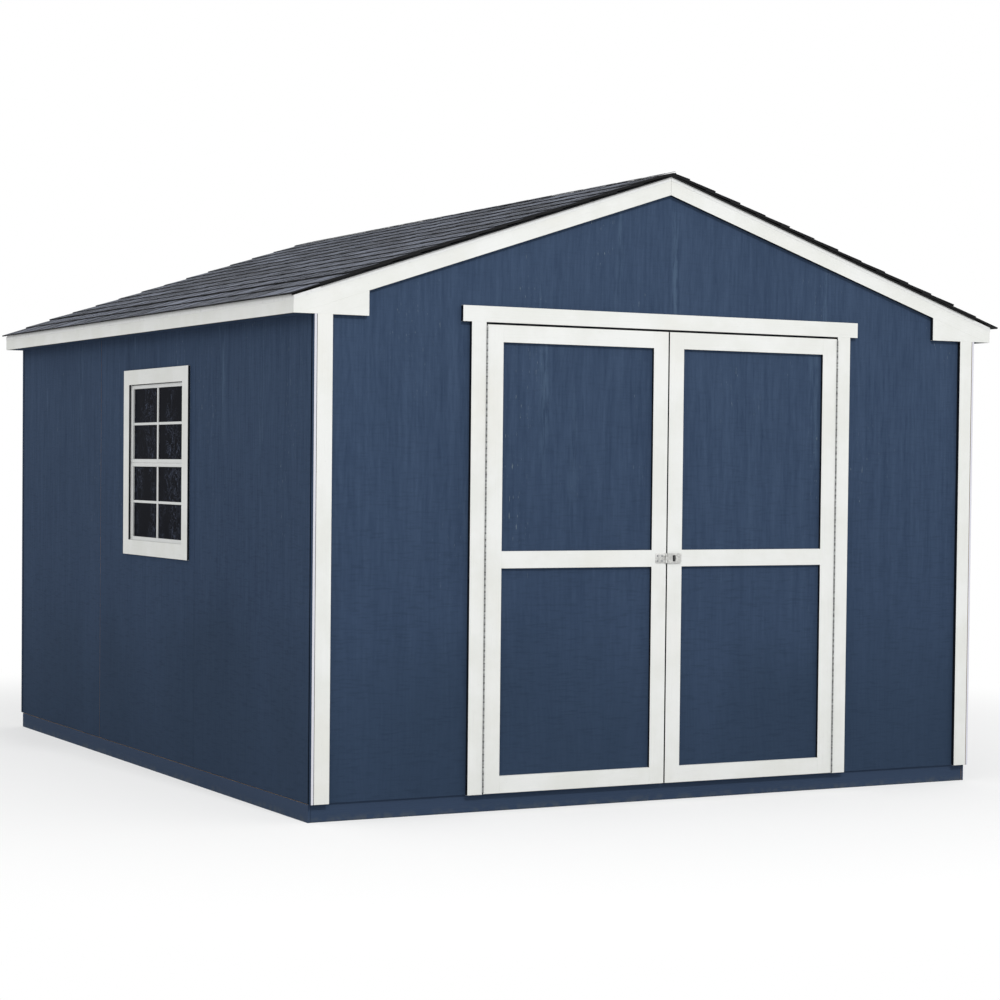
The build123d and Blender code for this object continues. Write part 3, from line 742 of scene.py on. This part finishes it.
def shingle_finish():
    finish = Finish("charcoal_shingle")
    place = finish.place()
    shade = finish.attribute("shade", "Fac")
    granules = finish.cells(place, 520.0)
    clumps = finish.noise(place, 46.0, 3, 0.7)
    rows = finish.noise(place.stretched(34, 4, 34), 1.0, 4, 0.7)
    broad = finish.noise(place.stretched(9, 1.2, 9), 1.0, 2)
    grit = granules.axis("X") * 0.5 + clumps * 0.3 + rows * 1.5 + broad * 0.8 + shade * 0.5
    colour = finish.blend(srgb(42, 46, 54), srgb(122, 128, 144), grit - 1.35)
    colour = finish.blend(colour, srgb(140, 143, 158), granules.axis("Y").band(0.86, 0.95) * 0.5)
    colour = finish.blend(colour, srgb(12, 13, 16), finish.facing().axis("Z").band(0.8, 0.6))
    height = granules.axis("Z") + clumps
    normal = finish.bump(height, 0.0012, 0.7)
    return finish.surface(colour, 0.86 - granules.axis("Y") * 0.2, normal, specular_ior_level=0.3)


UNEVEN = 0.0006
SKEW = 0.002
LEAST_PIECE = 0.012


def store_shade(graph, points, shade):
    """Keeps a random shade with each point, for the material to read."""
    return graph.node("GeometryNodeStoreNamedAttribute", {"data_type": "FLOAT", "domain": "POINT"},
                      {"Geometry": points, "Name": "shade", "Value": shade})


def course_tree():
    """Geometry nodes that lay courses of strips or tabs up a slope, each piece of its own width."""
    graph, given = open_tree("shingle_courses", Int=("Courses", "Columns", "Seed"),
                             Float=("Exposure", "Run", "Least width", "Most width", "Least gap", "Most gap",
                                    "Base", "Lift", "Tilt", "Slip", "Slope length"),
                             Object=("Piece",))
    courses, columns = given.output("Courses"), given.output("Columns")
    seed, run = given.output("Seed"), given.output("Run")
    row = (graph.node("GeometryNodeInputIndex") / columns).math("FLOOR")

    def draw(low, high, salt, identity=None):
        sockets = {2: low, 3: high, "Seed": seed * 17 + salt}
        if identity is not None:
            sockets["ID"] = identity
        return graph.node("FunctionNodeRandomValue", {"data_type": "FLOAT"}, sockets, 1)

    width = draw(given.output("Least width"), given.output("Most width"), 1)
    gap = draw(given.output("Least gap"), given.output("Most gap"), 2)
    start = graph.node("GeometryNodeAccumulateField", {"data_type": "FLOAT"},
                       {"Value": width + gap, "Group ID": row}, "Trailing")
    start = start - draw(0.0, given.output("Most width"), 3, row)
    low = start.math("MAXIMUM", 0.0)
    high = (start + width).math("MINIMUM", run)
    span = high - low
    points = graph.node("GeometryNodePoints", None, {"Count": courses * columns})
    slip = draw(given.output("Slip") * -1.0, given.output("Slip"), 4)
    lapping = (row * 0.5).math("MINIMUM", 1.0)
    up_slope = row * given.output("Exposure") + slip
    raised = given.output("Base") + lapping * given.output("Lift") + draw(0.0, UNEVEN, 5)
    position = graph.vector(X=up_slope, Y=(low + high) * 0.5 - run * 0.5, Z=raised)
    placed = graph.node("GeometryNodeSetPosition", None, {"Geometry": points, "Position": position})
    shaded = store_shade(graph, placed, draw(0.0, 1.0, 6))
    turn = graph.vector(Y=lapping * given.output("Tilt"), Z=draw(-SKEW, SKEW, 7))
    size = graph.vector(X=1.0, Y=span, Z=1.0)
    piece = graph.node("GeometryNodeObjectInfo", None, {"Object": given.output("Piece")}, "Geometry")
    kept = span.math("GREATER_THAN", LEAST_PIECE)
    real = real_copies(graph, shaded, piece, Rotation=turn, Scale=size, Selection=kept)
    spot = graph.node("GeometryNodeInputPosition")
    below_ridge = spot.axis("X").math("MINIMUM", given.output("Slope length"))
    held = graph.vector(X=below_ridge, Y=spot.axis("Y"), Z=spot.axis("Z"))
    trimmed = graph.node("GeometryNodeSetPosition", None, {"Geometry": real, "Position": held})
    return close_tree(graph, given, trimmed)


def strip_shape(length, thick, narrowing, worn=0.0008):
    """A strip of unit width, from its butt at the origin up the slope."""
    shape = bmesh.new()
    outline = [(0.0, -0.5), (0.0, 0.5), (length, 0.5 - narrowing), (length, -0.5 + narrowing)]
    bottom = [shape.verts.new((x, y, 0.0)) for x, y in outline]
    top = [shape.verts.new((x + (worn if x == 0 else 0), y, thick)) for x, y in outline]
    lip = [shape.verts.new((0.0, y, thick - worn)) for y in (-0.5, 0.5)]
    shape.faces.new(bottom)
    shape.faces.new(top[::-1])
    shape.faces.new((bottom[1], bottom[0], lip[0], lip[1]))
    shape.faces.new((lip[1], lip[0], top[0], top[1]))
    shape.faces.new((bottom[2], bottom[1], lip[1], top[1], top[2]))
    shape.faces.new((bottom[3], bottom[2], top[2], top[3]))
    shape.faces.new((bottom[0], bottom[3], top[3], top[0], lip[0]))
    bmesh.ops.recalc_face_normals(shape, faces=shape.faces)
    return shape


def join_meshes(name, meshes, material):
    """Several meshes as one, all in the same material."""
    whole = bmesh.new()
    for mesh in meshes:
        whole.from_mesh(mesh)
    for face in whole.faces:
        face.material_index = 0
    return settled_mesh(name, whole, material)


charcoal = shingle_finish()
courses = course_tree()
EXPOSURE = 0.127
STRIP_LENGTH = 0.300
STRIP_THICK = 0.0048
TAB_THICK = 0.0012
UNDERLAY_THICK = 0.004
LEFT_EAVE_SHORT = 0.018
LIFT = STRIP_THICK * STRIP_LENGTH / EXPOSURE + UNDERLAY_THICK - HEM_RISE
TAB_LAP = 0.02
TAB_TAPER = 0.03
roof_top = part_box("left_roof_boards")[1].z
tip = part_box("left_shingles")[0]
rake_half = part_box("left_shingles")[1].y
slope_length = abs(tip.x) / math.cos(SLOPE_ANGLE)
lift_tilt = math.atan(LIFT / STRIP_LENGTH)
common = {"Exposure": EXPOSURE, "Run": 2 * rake_half, "Material": charcoal, "Slope length": slope_length,
          "Courses": math.ceil(slope_length / EXPOSURE), "Slip": 0.0015, "Lift": LIFT, "Tilt": lift_tilt}
strip = linked_object("strip", settled_mesh("strip", strip_shape(STRIP_LENGTH, STRIP_THICK, 0.0)))
tab = linked_object("tab", settled_mesh("tab", strip_shape(EXPOSURE + TAB_LAP, TAB_THICK, TAB_TAPER)))
for side, name, short in ((-1, "left", LEFT_EAVE_SHORT), (1, "right", 0.0)):
    strips = {"Piece": strip, "Columns": 6, "Seed": 5 + side, "Least width": 0.9, "Most width": 1.0,
              "Least gap": 0.0008, "Most gap": 0.002, "Base": HEM_RISE}
    tabs = {"Piece": tab, "Columns": 34, "Seed": 21 + side, "Least width": 0.09, "Most width": 0.24,
            "Least gap": 0.02, "Most gap": 0.06, "Base": HEM_RISE + STRIP_THICK}
    laid = [run_tree(bpy.data.meshes.new("none"), courses, {**common, **own}) for own in (strips, tabs)]
    underlay = strip_shape(slope_length - EXPOSURE, UNDERLAY_THICK, 0.0)
    widened = Matrix.Diagonal((1, 2 * rake_half - 0.002, 1, 1))
    underlay.transform(Matrix.Translation((EXPOSURE, 0, 0)) @ widened)
    laid.append(settled_mesh("underlay", underlay))
    mesh = join_meshes(name + "_shingle_courses", laid, charcoal)
    reach = tip.x + short
    eave = Vector((reach, 0.0, roof_top + reach * math.tan(SLOPE_ANGLE) + HEM_THICK))
    place = Matrix.Translation(eave) @ Matrix.Rotation(-SLOPE_ANGLE, 4, "Y")
    if side == 1:
        place = Matrix.Rotation(math.pi, 4, "Z") @ place
    mesh.transform(place)
    add_piece(name + "_shingle_courses", mesh, "shed", [name + "_shingles"])
bpy.data.objects.remove(strip)
bpy.data.objects.remove(tab)


# Ridge caps
# Single tabs of the same shingle, folded over the ridge. They are laid from the front to the back, each
# nailed near its head, where the next one covers it.

def ridge_tree():
    """Geometry nodes that lap caps along the ridge."""
    graph, given = open_tree("ridge_caps", Int=("Count",), Float=("Exposure", "Start", "Tilt"),
                             Object=("Piece",))
    index = graph.node("GeometryNodeInputIndex")
    draws = graph.node("FunctionNodeRandomValue", {"data_type": "FLOAT"}, {2: 0.0, 3: 1.0, "Seed": 3}, 1)
    points = graph.node("GeometryNodePoints", None, {"Count": given.output("Count")})
    along_ridge = given.output("Start") + index * given.output("Exposure")
    position = graph.vector(Y=along_ridge, Z=draws * 0.0008)
    placed = graph.node("GeometryNodeSetPosition", None, {"Geometry": points, "Position": position})
    shaded = store_shade(graph, placed, draws)
    turn = graph.vector(X=given.output("Tilt"), Z=draws * 0.012 - 0.006)
    cap = graph.node("GeometryNodeObjectInfo", None, {"Object": given.output("Piece")}, "Geometry")
    return close_tree(graph, given, real_copies(graph, shaded, cap, Rotation=turn))


BENDS = 5
ROUND_OVER = 0.05


def cap_shape(wing, length, thick):
    """A cap folded over the ridge in a rounded fold. Its butt is at the origin and it runs along +Y."""
    profile = []
    for number in range(-BENDS, BENDS + 1):
        x = number / BENDS * wing
        profile.append((x, -math.tan(SLOPE_ANGLE) * (math.sqrt(x * x + ROUND_OVER ** 2) - ROUND_OVER)))
    shape = bmesh.new()
    butt, head = [[[shape.verts.new((x, y, z + lift)) for x, z in profile] for lift in (0.0, thick)]
                  for y in (0.0, length)]
    spans = [(number, number + 1) for number in range(len(profile) - 1)]
    for level in (0, 1):
        for near, far in spans:
            shape.faces.new((butt[level][near], butt[level][far], head[level][far], head[level][near]))
    for end in (butt, head):
        for near, far in spans:
            shape.faces.new((end[0][near], end[0][far], end[1][far], end[1][near]))
    for wing_edge in (0, -1):
        shape.faces.new((butt[0][wing_edge], butt[1][wing_edge], head[1][wing_edge], head[0][wing_edge]))
    bmesh.ops.recalc_face_normals(shape, faces=shape.faces)
    return shape


CAP_LENGTH = 0.30
CAP_THICK = 0.0045
CAP_WING = 0.163
cap_low, cap_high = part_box("ridge_cap")
CAP_SINK = 0.35
cap_lift = CAP_THICK * CAP_LENGTH / EXPOSURE
cap = linked_object("cap", settled_mesh("cap", cap_shape(CAP_WING, CAP_LENGTH, CAP_THICK)))
cap_run = cap_high.y - cap_low.y - CAP_LENGTH
cap_count = math.ceil(cap_run / EXPOSURE) + 1
laying = {"Count": cap_count, "Exposure": cap_run / (cap_count - 1), "Start": cap_low.y,
          "Tilt": -math.atan(cap_lift / CAP_LENGTH), "Piece": cap, "Material": charcoal}
caps = run_tree(bpy.data.meshes.new("none"), ridge_tree(), laying)
caps.transform(Matrix.Translation((0, 0, cap_high.z - cap_lift * CAP_SINK - CAP_THICK)))
add_piece("ridge_cap_tabs", caps, "shed", ["ridge_cap"])
bpy.data.objects.remove(cap)


# Window
# A vinyl window: a frame let into the wall, two sashes one above the other in one plane, and bars on the
# glass that divide each sash into four panes.

def vinyl_finish():
    finish = Finish("white_vinyl")
    place = finish.place()
    haze = finish.noise(place, 9.0, 3)
    dust = finish.noise(place, 120.0, 3).band(0.55, 0.8)
    colour = finish.blend(srgb(224, 225, 224), srgb(208, 210, 210), haze * 0.6 + dust * 0.3)
    normal = finish.bump(haze, 0.001, 0.15)
    return finish.surface(colour, 0.35 + haze * 0.15, normal, specular_ior_level=0.35)


def glass_finish():
    finish = Finish("window_glass")
    place = finish.place()
    # Painted reflection: the near-black colour and the pale swirls and specks stand for a dark surround
    # mirrored in the glass.
    ripple = finish.noise(place.stretched(1, 9, 3.2), 1.0, 3, 0.6)
    drift = finish.noise(place.stretched(1, 14, 10), 1.0, 2, output="Color")
    swirled = place.moved(drift.stretched(0.0, 0.16, 0.16))
    swirls = finish.noise(swirled.stretched(1, 34, 24), 1.0, 3, 0.6)
    reflection_curls = abs(swirls - 0.5).band(0.022, 0.006)
    specks = finish.noise(place.stretched(1, 90, 60), 1.0, 3, 0.7).band(0.6, 0.74)
    reflection_patches = finish.noise(place.stretched(1, 7, 3).moved((0, 2.0, 0)), 1.0, 2).band(0.35, 0.65)
    colour = finish.blend(srgb(17, 19, 26), srgb(104, 114, 138), (reflection_curls * 0.3 + specks * 0.5) * reflection_patches)
    normal = finish.bump(ripple, 0.002, 0.2)
    return finish.surface(colour, 0.12 + ripple * 0.08, normal, ior=1.08, specular_ior_level=0.1)


vinyl = vinyl_finish()
for node in ("window_frame", "window_sashes"):
    dress(node, vinyl, ease=0.0012, segments=2)
dress("window_glass", glass_finish())
BAR_WIDTH = 0.015
BAR_HEIGHT = 0.011
BAR_PROUD = 0.005
CROSS_PROUD = 0.004
BAR_EASE = 0.001
glass_low, glass_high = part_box("window_glass")
sash_low, sash_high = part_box("window_sashes")
middle_y = (glass_low.y + glass_high.y) / 2
sash_middle = (sash_low.z + sash_high.z) / 2
rail = sash_high.z - glass_high.z
bars = bmesh.new()
for low_z, high_z in ((glass_low.z, sash_middle - rail), (sash_middle + rail, glass_high.z)):
    across_z = (low_z + high_z) / 2
    add_box(bars, (glass_low.x - BAR_PROUD, middle_y - BAR_WIDTH / 2, low_z),
            (glass_low.x, middle_y + BAR_WIDTH / 2, high_z), ease=BAR_EASE)
    add_box(bars, (glass_low.x - CROSS_PROUD, glass_low.y, across_z - BAR_HEIGHT / 2),
            (glass_low.x, glass_high.y, across_z + BAR_HEIGHT / 2), ease=BAR_EASE)
add_piece("window_bars", settled_mesh("window_bars", bars, vinyl), "shed")


# Doors
# Each leaf is a siding panel with white stiles and rails nailed on its face. Behind the panel is a frame
# of bare 2 by 4 lumber, and the panel is nailed to it.

for seed, hand in enumerate(("left", "right")):
    dress(hand + "_door_panel", navy_siding, ease=PANEL_EASE)
    dress(hand + "_door_stiles", white_trim, ease=TRIM_EASE, seed=50 + seed)
    dress(hand + "_door_rails", white_trim, ease=TRIM_EASE, seed=60 + seed)
    dress(hand + "_door_frame", bare_lumber, ease=LUMBER_EASE, seed=70 + seed)


# Hinges
# A continuous hinge on each jamb: two strips of galvanised steel rolled round one pin in short knuckles.
# Each long bearing is notched into three, and painted shade lies dark on the barrel between the knuckles.

KNUCKLE_PITCH = 0.0249
LEAF_FACE = -1.8470
NOTCH = 0.0022
NOTCH_DEPTH = 0.0016


def hinge_finish():
    finish = Finish("hinge_zinc")
    place = finish.place()
    round_pin = place.axis("Y").band(LEAF_FACE, LEAF_FACE - 0.001)
    within = ((place.axis("Z") - hinge_low.z) / KNUCKLE_PITCH).math("FRACT")
    # Painted shade: dark bands on the barrel where the knuckles meet.
    joint = abs(within - 0.5).band(0.36, 0.47)
    worn = finish.noise(place.stretched(60, 60, 110), 1.0, 3, 0.7).band(0.35, 0.7)
    colour = finish.blend(srgb(120, 122, 122), srgb(186, 188, 187), worn)
    colour = finish.blend(colour, srgb(40, 41, 43), joint * round_pin * 0.9)
    return finish.surface(colour, 0.45 + worn * 0.2, metallic=0.35)


hinge_low, hinge_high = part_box("jamb_hinge_leaves")
hinge_zinc = hinge_finish()
knuckle_count = round((hinge_high.z - hinge_low.z) / KNUCKLE_PITCH)
for node in ("jamb_hinge_leaves", "left_door_hinge_leaf", "right_door_hinge_leaf"):
    low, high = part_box(node)
    notches = []
    for number in range(1, knuckle_count):
        z = hinge_low.z + number * (hinge_high.z - hinge_low.z) / knuckle_count
        notches.append(((low.x - NOTCH, low.y - NOTCH, z - NOTCH / 2),
                        (high.x + NOTCH, low.y + NOTCH_DEPTH, z + NOTCH / 2)))
    cut_grooves(dress(node, hinge_zinc), notches)


# Hasp
# A galvanised safety hasp: a leaf screwed to the left door, and a strap that folds over the staple on the
# right door. The strap has a pressed rim. The zinc is pale with patches of dirt, and the staple is dark grey,
# painted shade for the slot of the strap that lies over it.

def hasp_finish():
    finish = Finish("hasp_zinc")
    place = finish.place()
    blotches = finish.noise(place.stretched(240, 240, 240), 1.0, 3, 0.7)
    spangle = finish.cells(place, 190.0)
    dirt = blotches.band(0.58, 0.72)
    tone = spangle.axis("X") * 0.6 + blotches * 0.4
    colour = finish.blend(srgb(178, 178, 176), srgb(224, 224, 221), tone)
    colour = finish.blend(colour, srgb(104, 104, 102), dirt * 0.6)
    return finish.surface(colour, 0.42 + blotches * 0.2, metallic=0.25)


def staple_shade_finish():
    # Painted shade: the staple is a dark grey so that the slot of the strap over it reads as shaded.
    finish = Finish("darkened_zinc")
    staple_tone = finish.noise(finish.place(), 300.0, 3)
    colour = finish.blend(srgb(44, 45, 47), srgb(104, 105, 106), staple_tone)
    return finish.surface(colour, 0.5 + staple_tone * 0.2, metallic=0.4)


hasp_zinc = hasp_finish()
PLATE_EASE = 0.0003
for node in ("hasp_leaf", "hasp_strap"):
    dress(node, hasp_zinc, ease=PLATE_EASE)
dress("hasp_staple", staple_shade_finish())
HASP_PLATE = 0.002
SCREW_INSET = 0.010
SCREW_PITCH = 0.021
SCREW_MARGIN = 0.0095
RIM = 0.0022
RIM_PROUD = 0.0007
leaf_low, leaf_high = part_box("hasp_leaf")
strap_low, strap_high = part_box("hasp_strap")
leaf_face = leaf_high.y - HASP_PLATE
screw_spots = [((leaf_low.x + inset, leaf_face, z), (0, -1, 0))
               for inset in (SCREW_INSET, SCREW_INSET + SCREW_PITCH)
               for z in (leaf_low.z + SCREW_MARGIN, leaf_high.z - SCREW_MARGIN)]
add_nails("hasp_screws", screw_spots, "left_door", zinc, radius=0.0042, height=0.0016)
strap_face = strap_low.y + HASP_PLATE
RIM_FROM_PIN = 0.014
RIM_FROM_TIP = 0.005
RIM_MARGIN = 0.004
rim_left, rim_right = strap_low.x + RIM_FROM_PIN, strap_high.x - RIM_FROM_TIP
rim_foot, rim_head = strap_low.z + RIM_MARGIN, strap_high.z - RIM_MARGIN
rim = bmesh.new()
for low_x, high_x, low_z, high_z in ((rim_left, rim_right, rim_foot, rim_foot + RIM),
                                     (rim_left, rim_right, rim_head - RIM, rim_head),
                                     (rim_left, rim_left + RIM, rim_foot + RIM, rim_head - RIM),
                                     (rim_right - RIM, rim_right, rim_foot + RIM, rim_head - RIM)):
    add_box(rim, (low_x, strap_face - RIM_PROUD, low_z), (high_x, strap_face, high_z), ease=PLATE_EASE)
add_piece("hasp_rim", settled_mesh("hasp_rim", rim, hasp_zinc), "hasp")


# Studio
# A plain pale floor, an even white surround, one lamp high at the front and a wide weak one at the left.
# The camera stands where the photograph was taken from.

WHITENED = 0.5
FLOOR_REACH = 40.0


def studio_floor():
    """A wide floor that fades to the white of the surround and keeps the shadow near the shed."""
    finish = Finish("studio_floor")
    place = finish.place()
    away = place.axis("X") * place.axis("X") + place.axis("Y") * place.axis("Y")
    fade = away.band(9.0, 25.0) * (1 - WHITENED) + WHITENED
    diffuse = finish.node("ShaderNodeBsdfDiffuse", None, {"Color": (0.93, 0.93, 0.93, 1.0)})
    white = finish.node("ShaderNodeEmission", None, {"Color": (1, 1, 1, 1), "Strength": 1.0})
    near = finish.node("ShaderNodeMixShader", None, {0: fade, 1: diffuse, 2: white})
    dull = finish.node("ShaderNodeBsdfDiffuse", None, {"Color": (0.7, 0.7, 0.7, 1.0)})
    rays = finish.node("ShaderNodeLightPath", output="Is Camera Ray")
    seen = finish.node("ShaderNodeMixShader", None, {0: rays, 1: dull, 2: near})
    finish.node("ShaderNodeOutputMaterial", None, {"Surface": seen})
    mesh = bpy.data.meshes.new("studio_floor")
    corners = [(x * FLOOR_REACH, y * FLOOR_REACH, 0) for x, y in ((-1, -1), (1, -1), (1, 1), (-1, 1))]
    mesh.from_pydata(corners, [], [(0, 1, 2, 3)])
    mesh.materials.append(finish.material)
    floor = linked_object("studio_floor", mesh)


def studio_world():
    """A surround that is pure white where the camera sees it and gives a little less light than that."""
    world = bpy.data.worlds.new("studio")
    world.use_nodes = True
    world.node_tree.nodes.clear()
    graph = Graph(world.node_tree)
    path = graph.node("ShaderNodeLightPath")
    direct = path.output("Is Camera Ray").math("MAXIMUM", path.output("Is Transmission Ray"))
    light = graph.node("ShaderNodeBackground", None, {"Color": (0.985, 0.99, 0.985, 1.0), "Strength": 0.80})
    white = graph.node("ShaderNodeBackground", None, {"Color": (1, 1, 1, 1), "Strength": 1.0})
    both = graph.node("ShaderNodeMixShader", None, {0: direct, 1: light, 2: white})
    graph.node("ShaderNodeOutputWorld", None, {"Surface": both})
    bpy.context.scene.world = world


SHED_MIDDLE = Vector((0.0, 0.0, 1.2))


def studio_lamp(name, place, size, power):
    """A round soft lamp that looks at the middle of the shed."""
    lamp = bpy.data.lights.new(name, "AREA")
    lamp.shape = "DISK"
    lamp.size = size
    lamp.energy = power
    aim = (SHED_MIDDLE - Vector(place)).to_track_quat("-Z", "Y")
    linked_object(name, lamp).matrix_world = Matrix.LocRotScale(Vector(place), aim, None)


EYE = (-5.0471, -10.1078, 1.3244)
YAW = 0.5045
PITCH = 0.0296
ROLL = 0.011
SENSOR = 36.0
LENS = 87.49
SHIFT = (-0.06, 0.0399)


def photo_camera():
    """The camera that fits the photograph: its place, its turn in radians, its lens and its shift."""
    ahead = Vector((math.sin(YAW) * math.cos(PITCH), math.cos(YAW) * math.cos(PITCH), -math.sin(PITCH)))
    right = Vector((math.cos(YAW), -math.sin(YAW), 0.0))
    above = right.cross(ahead)
    turned_right = right * math.cos(ROLL) + above * math.sin(ROLL)
    turned_up = above * math.cos(ROLL) - right * math.sin(ROLL)
    camera = bpy.data.cameras.new("photo_camera")
    camera.sensor_width = SENSOR
    camera.lens = LENS
    camera.shift_x, camera.shift_y = SHIFT
    made = linked_object("photo_camera", camera)
    turn = Matrix((turned_right, turned_up, -ahead)).transposed().to_4x4()
    made.matrix_world = Matrix.Translation(EYE) @ turn
    bpy.context.scene.camera = made


studio_floor()
studio_world()
studio_lamp("key_lamp", (-1.0, -13.5, 10.0), size=1.2, power=850.0)
studio_lamp("fill_lamp", (-14.0, 1.0, 7.0), size=7.0, power=230.0)
photo_camera()
bpy.context.scene.view_settings.view_transform = "Standard"
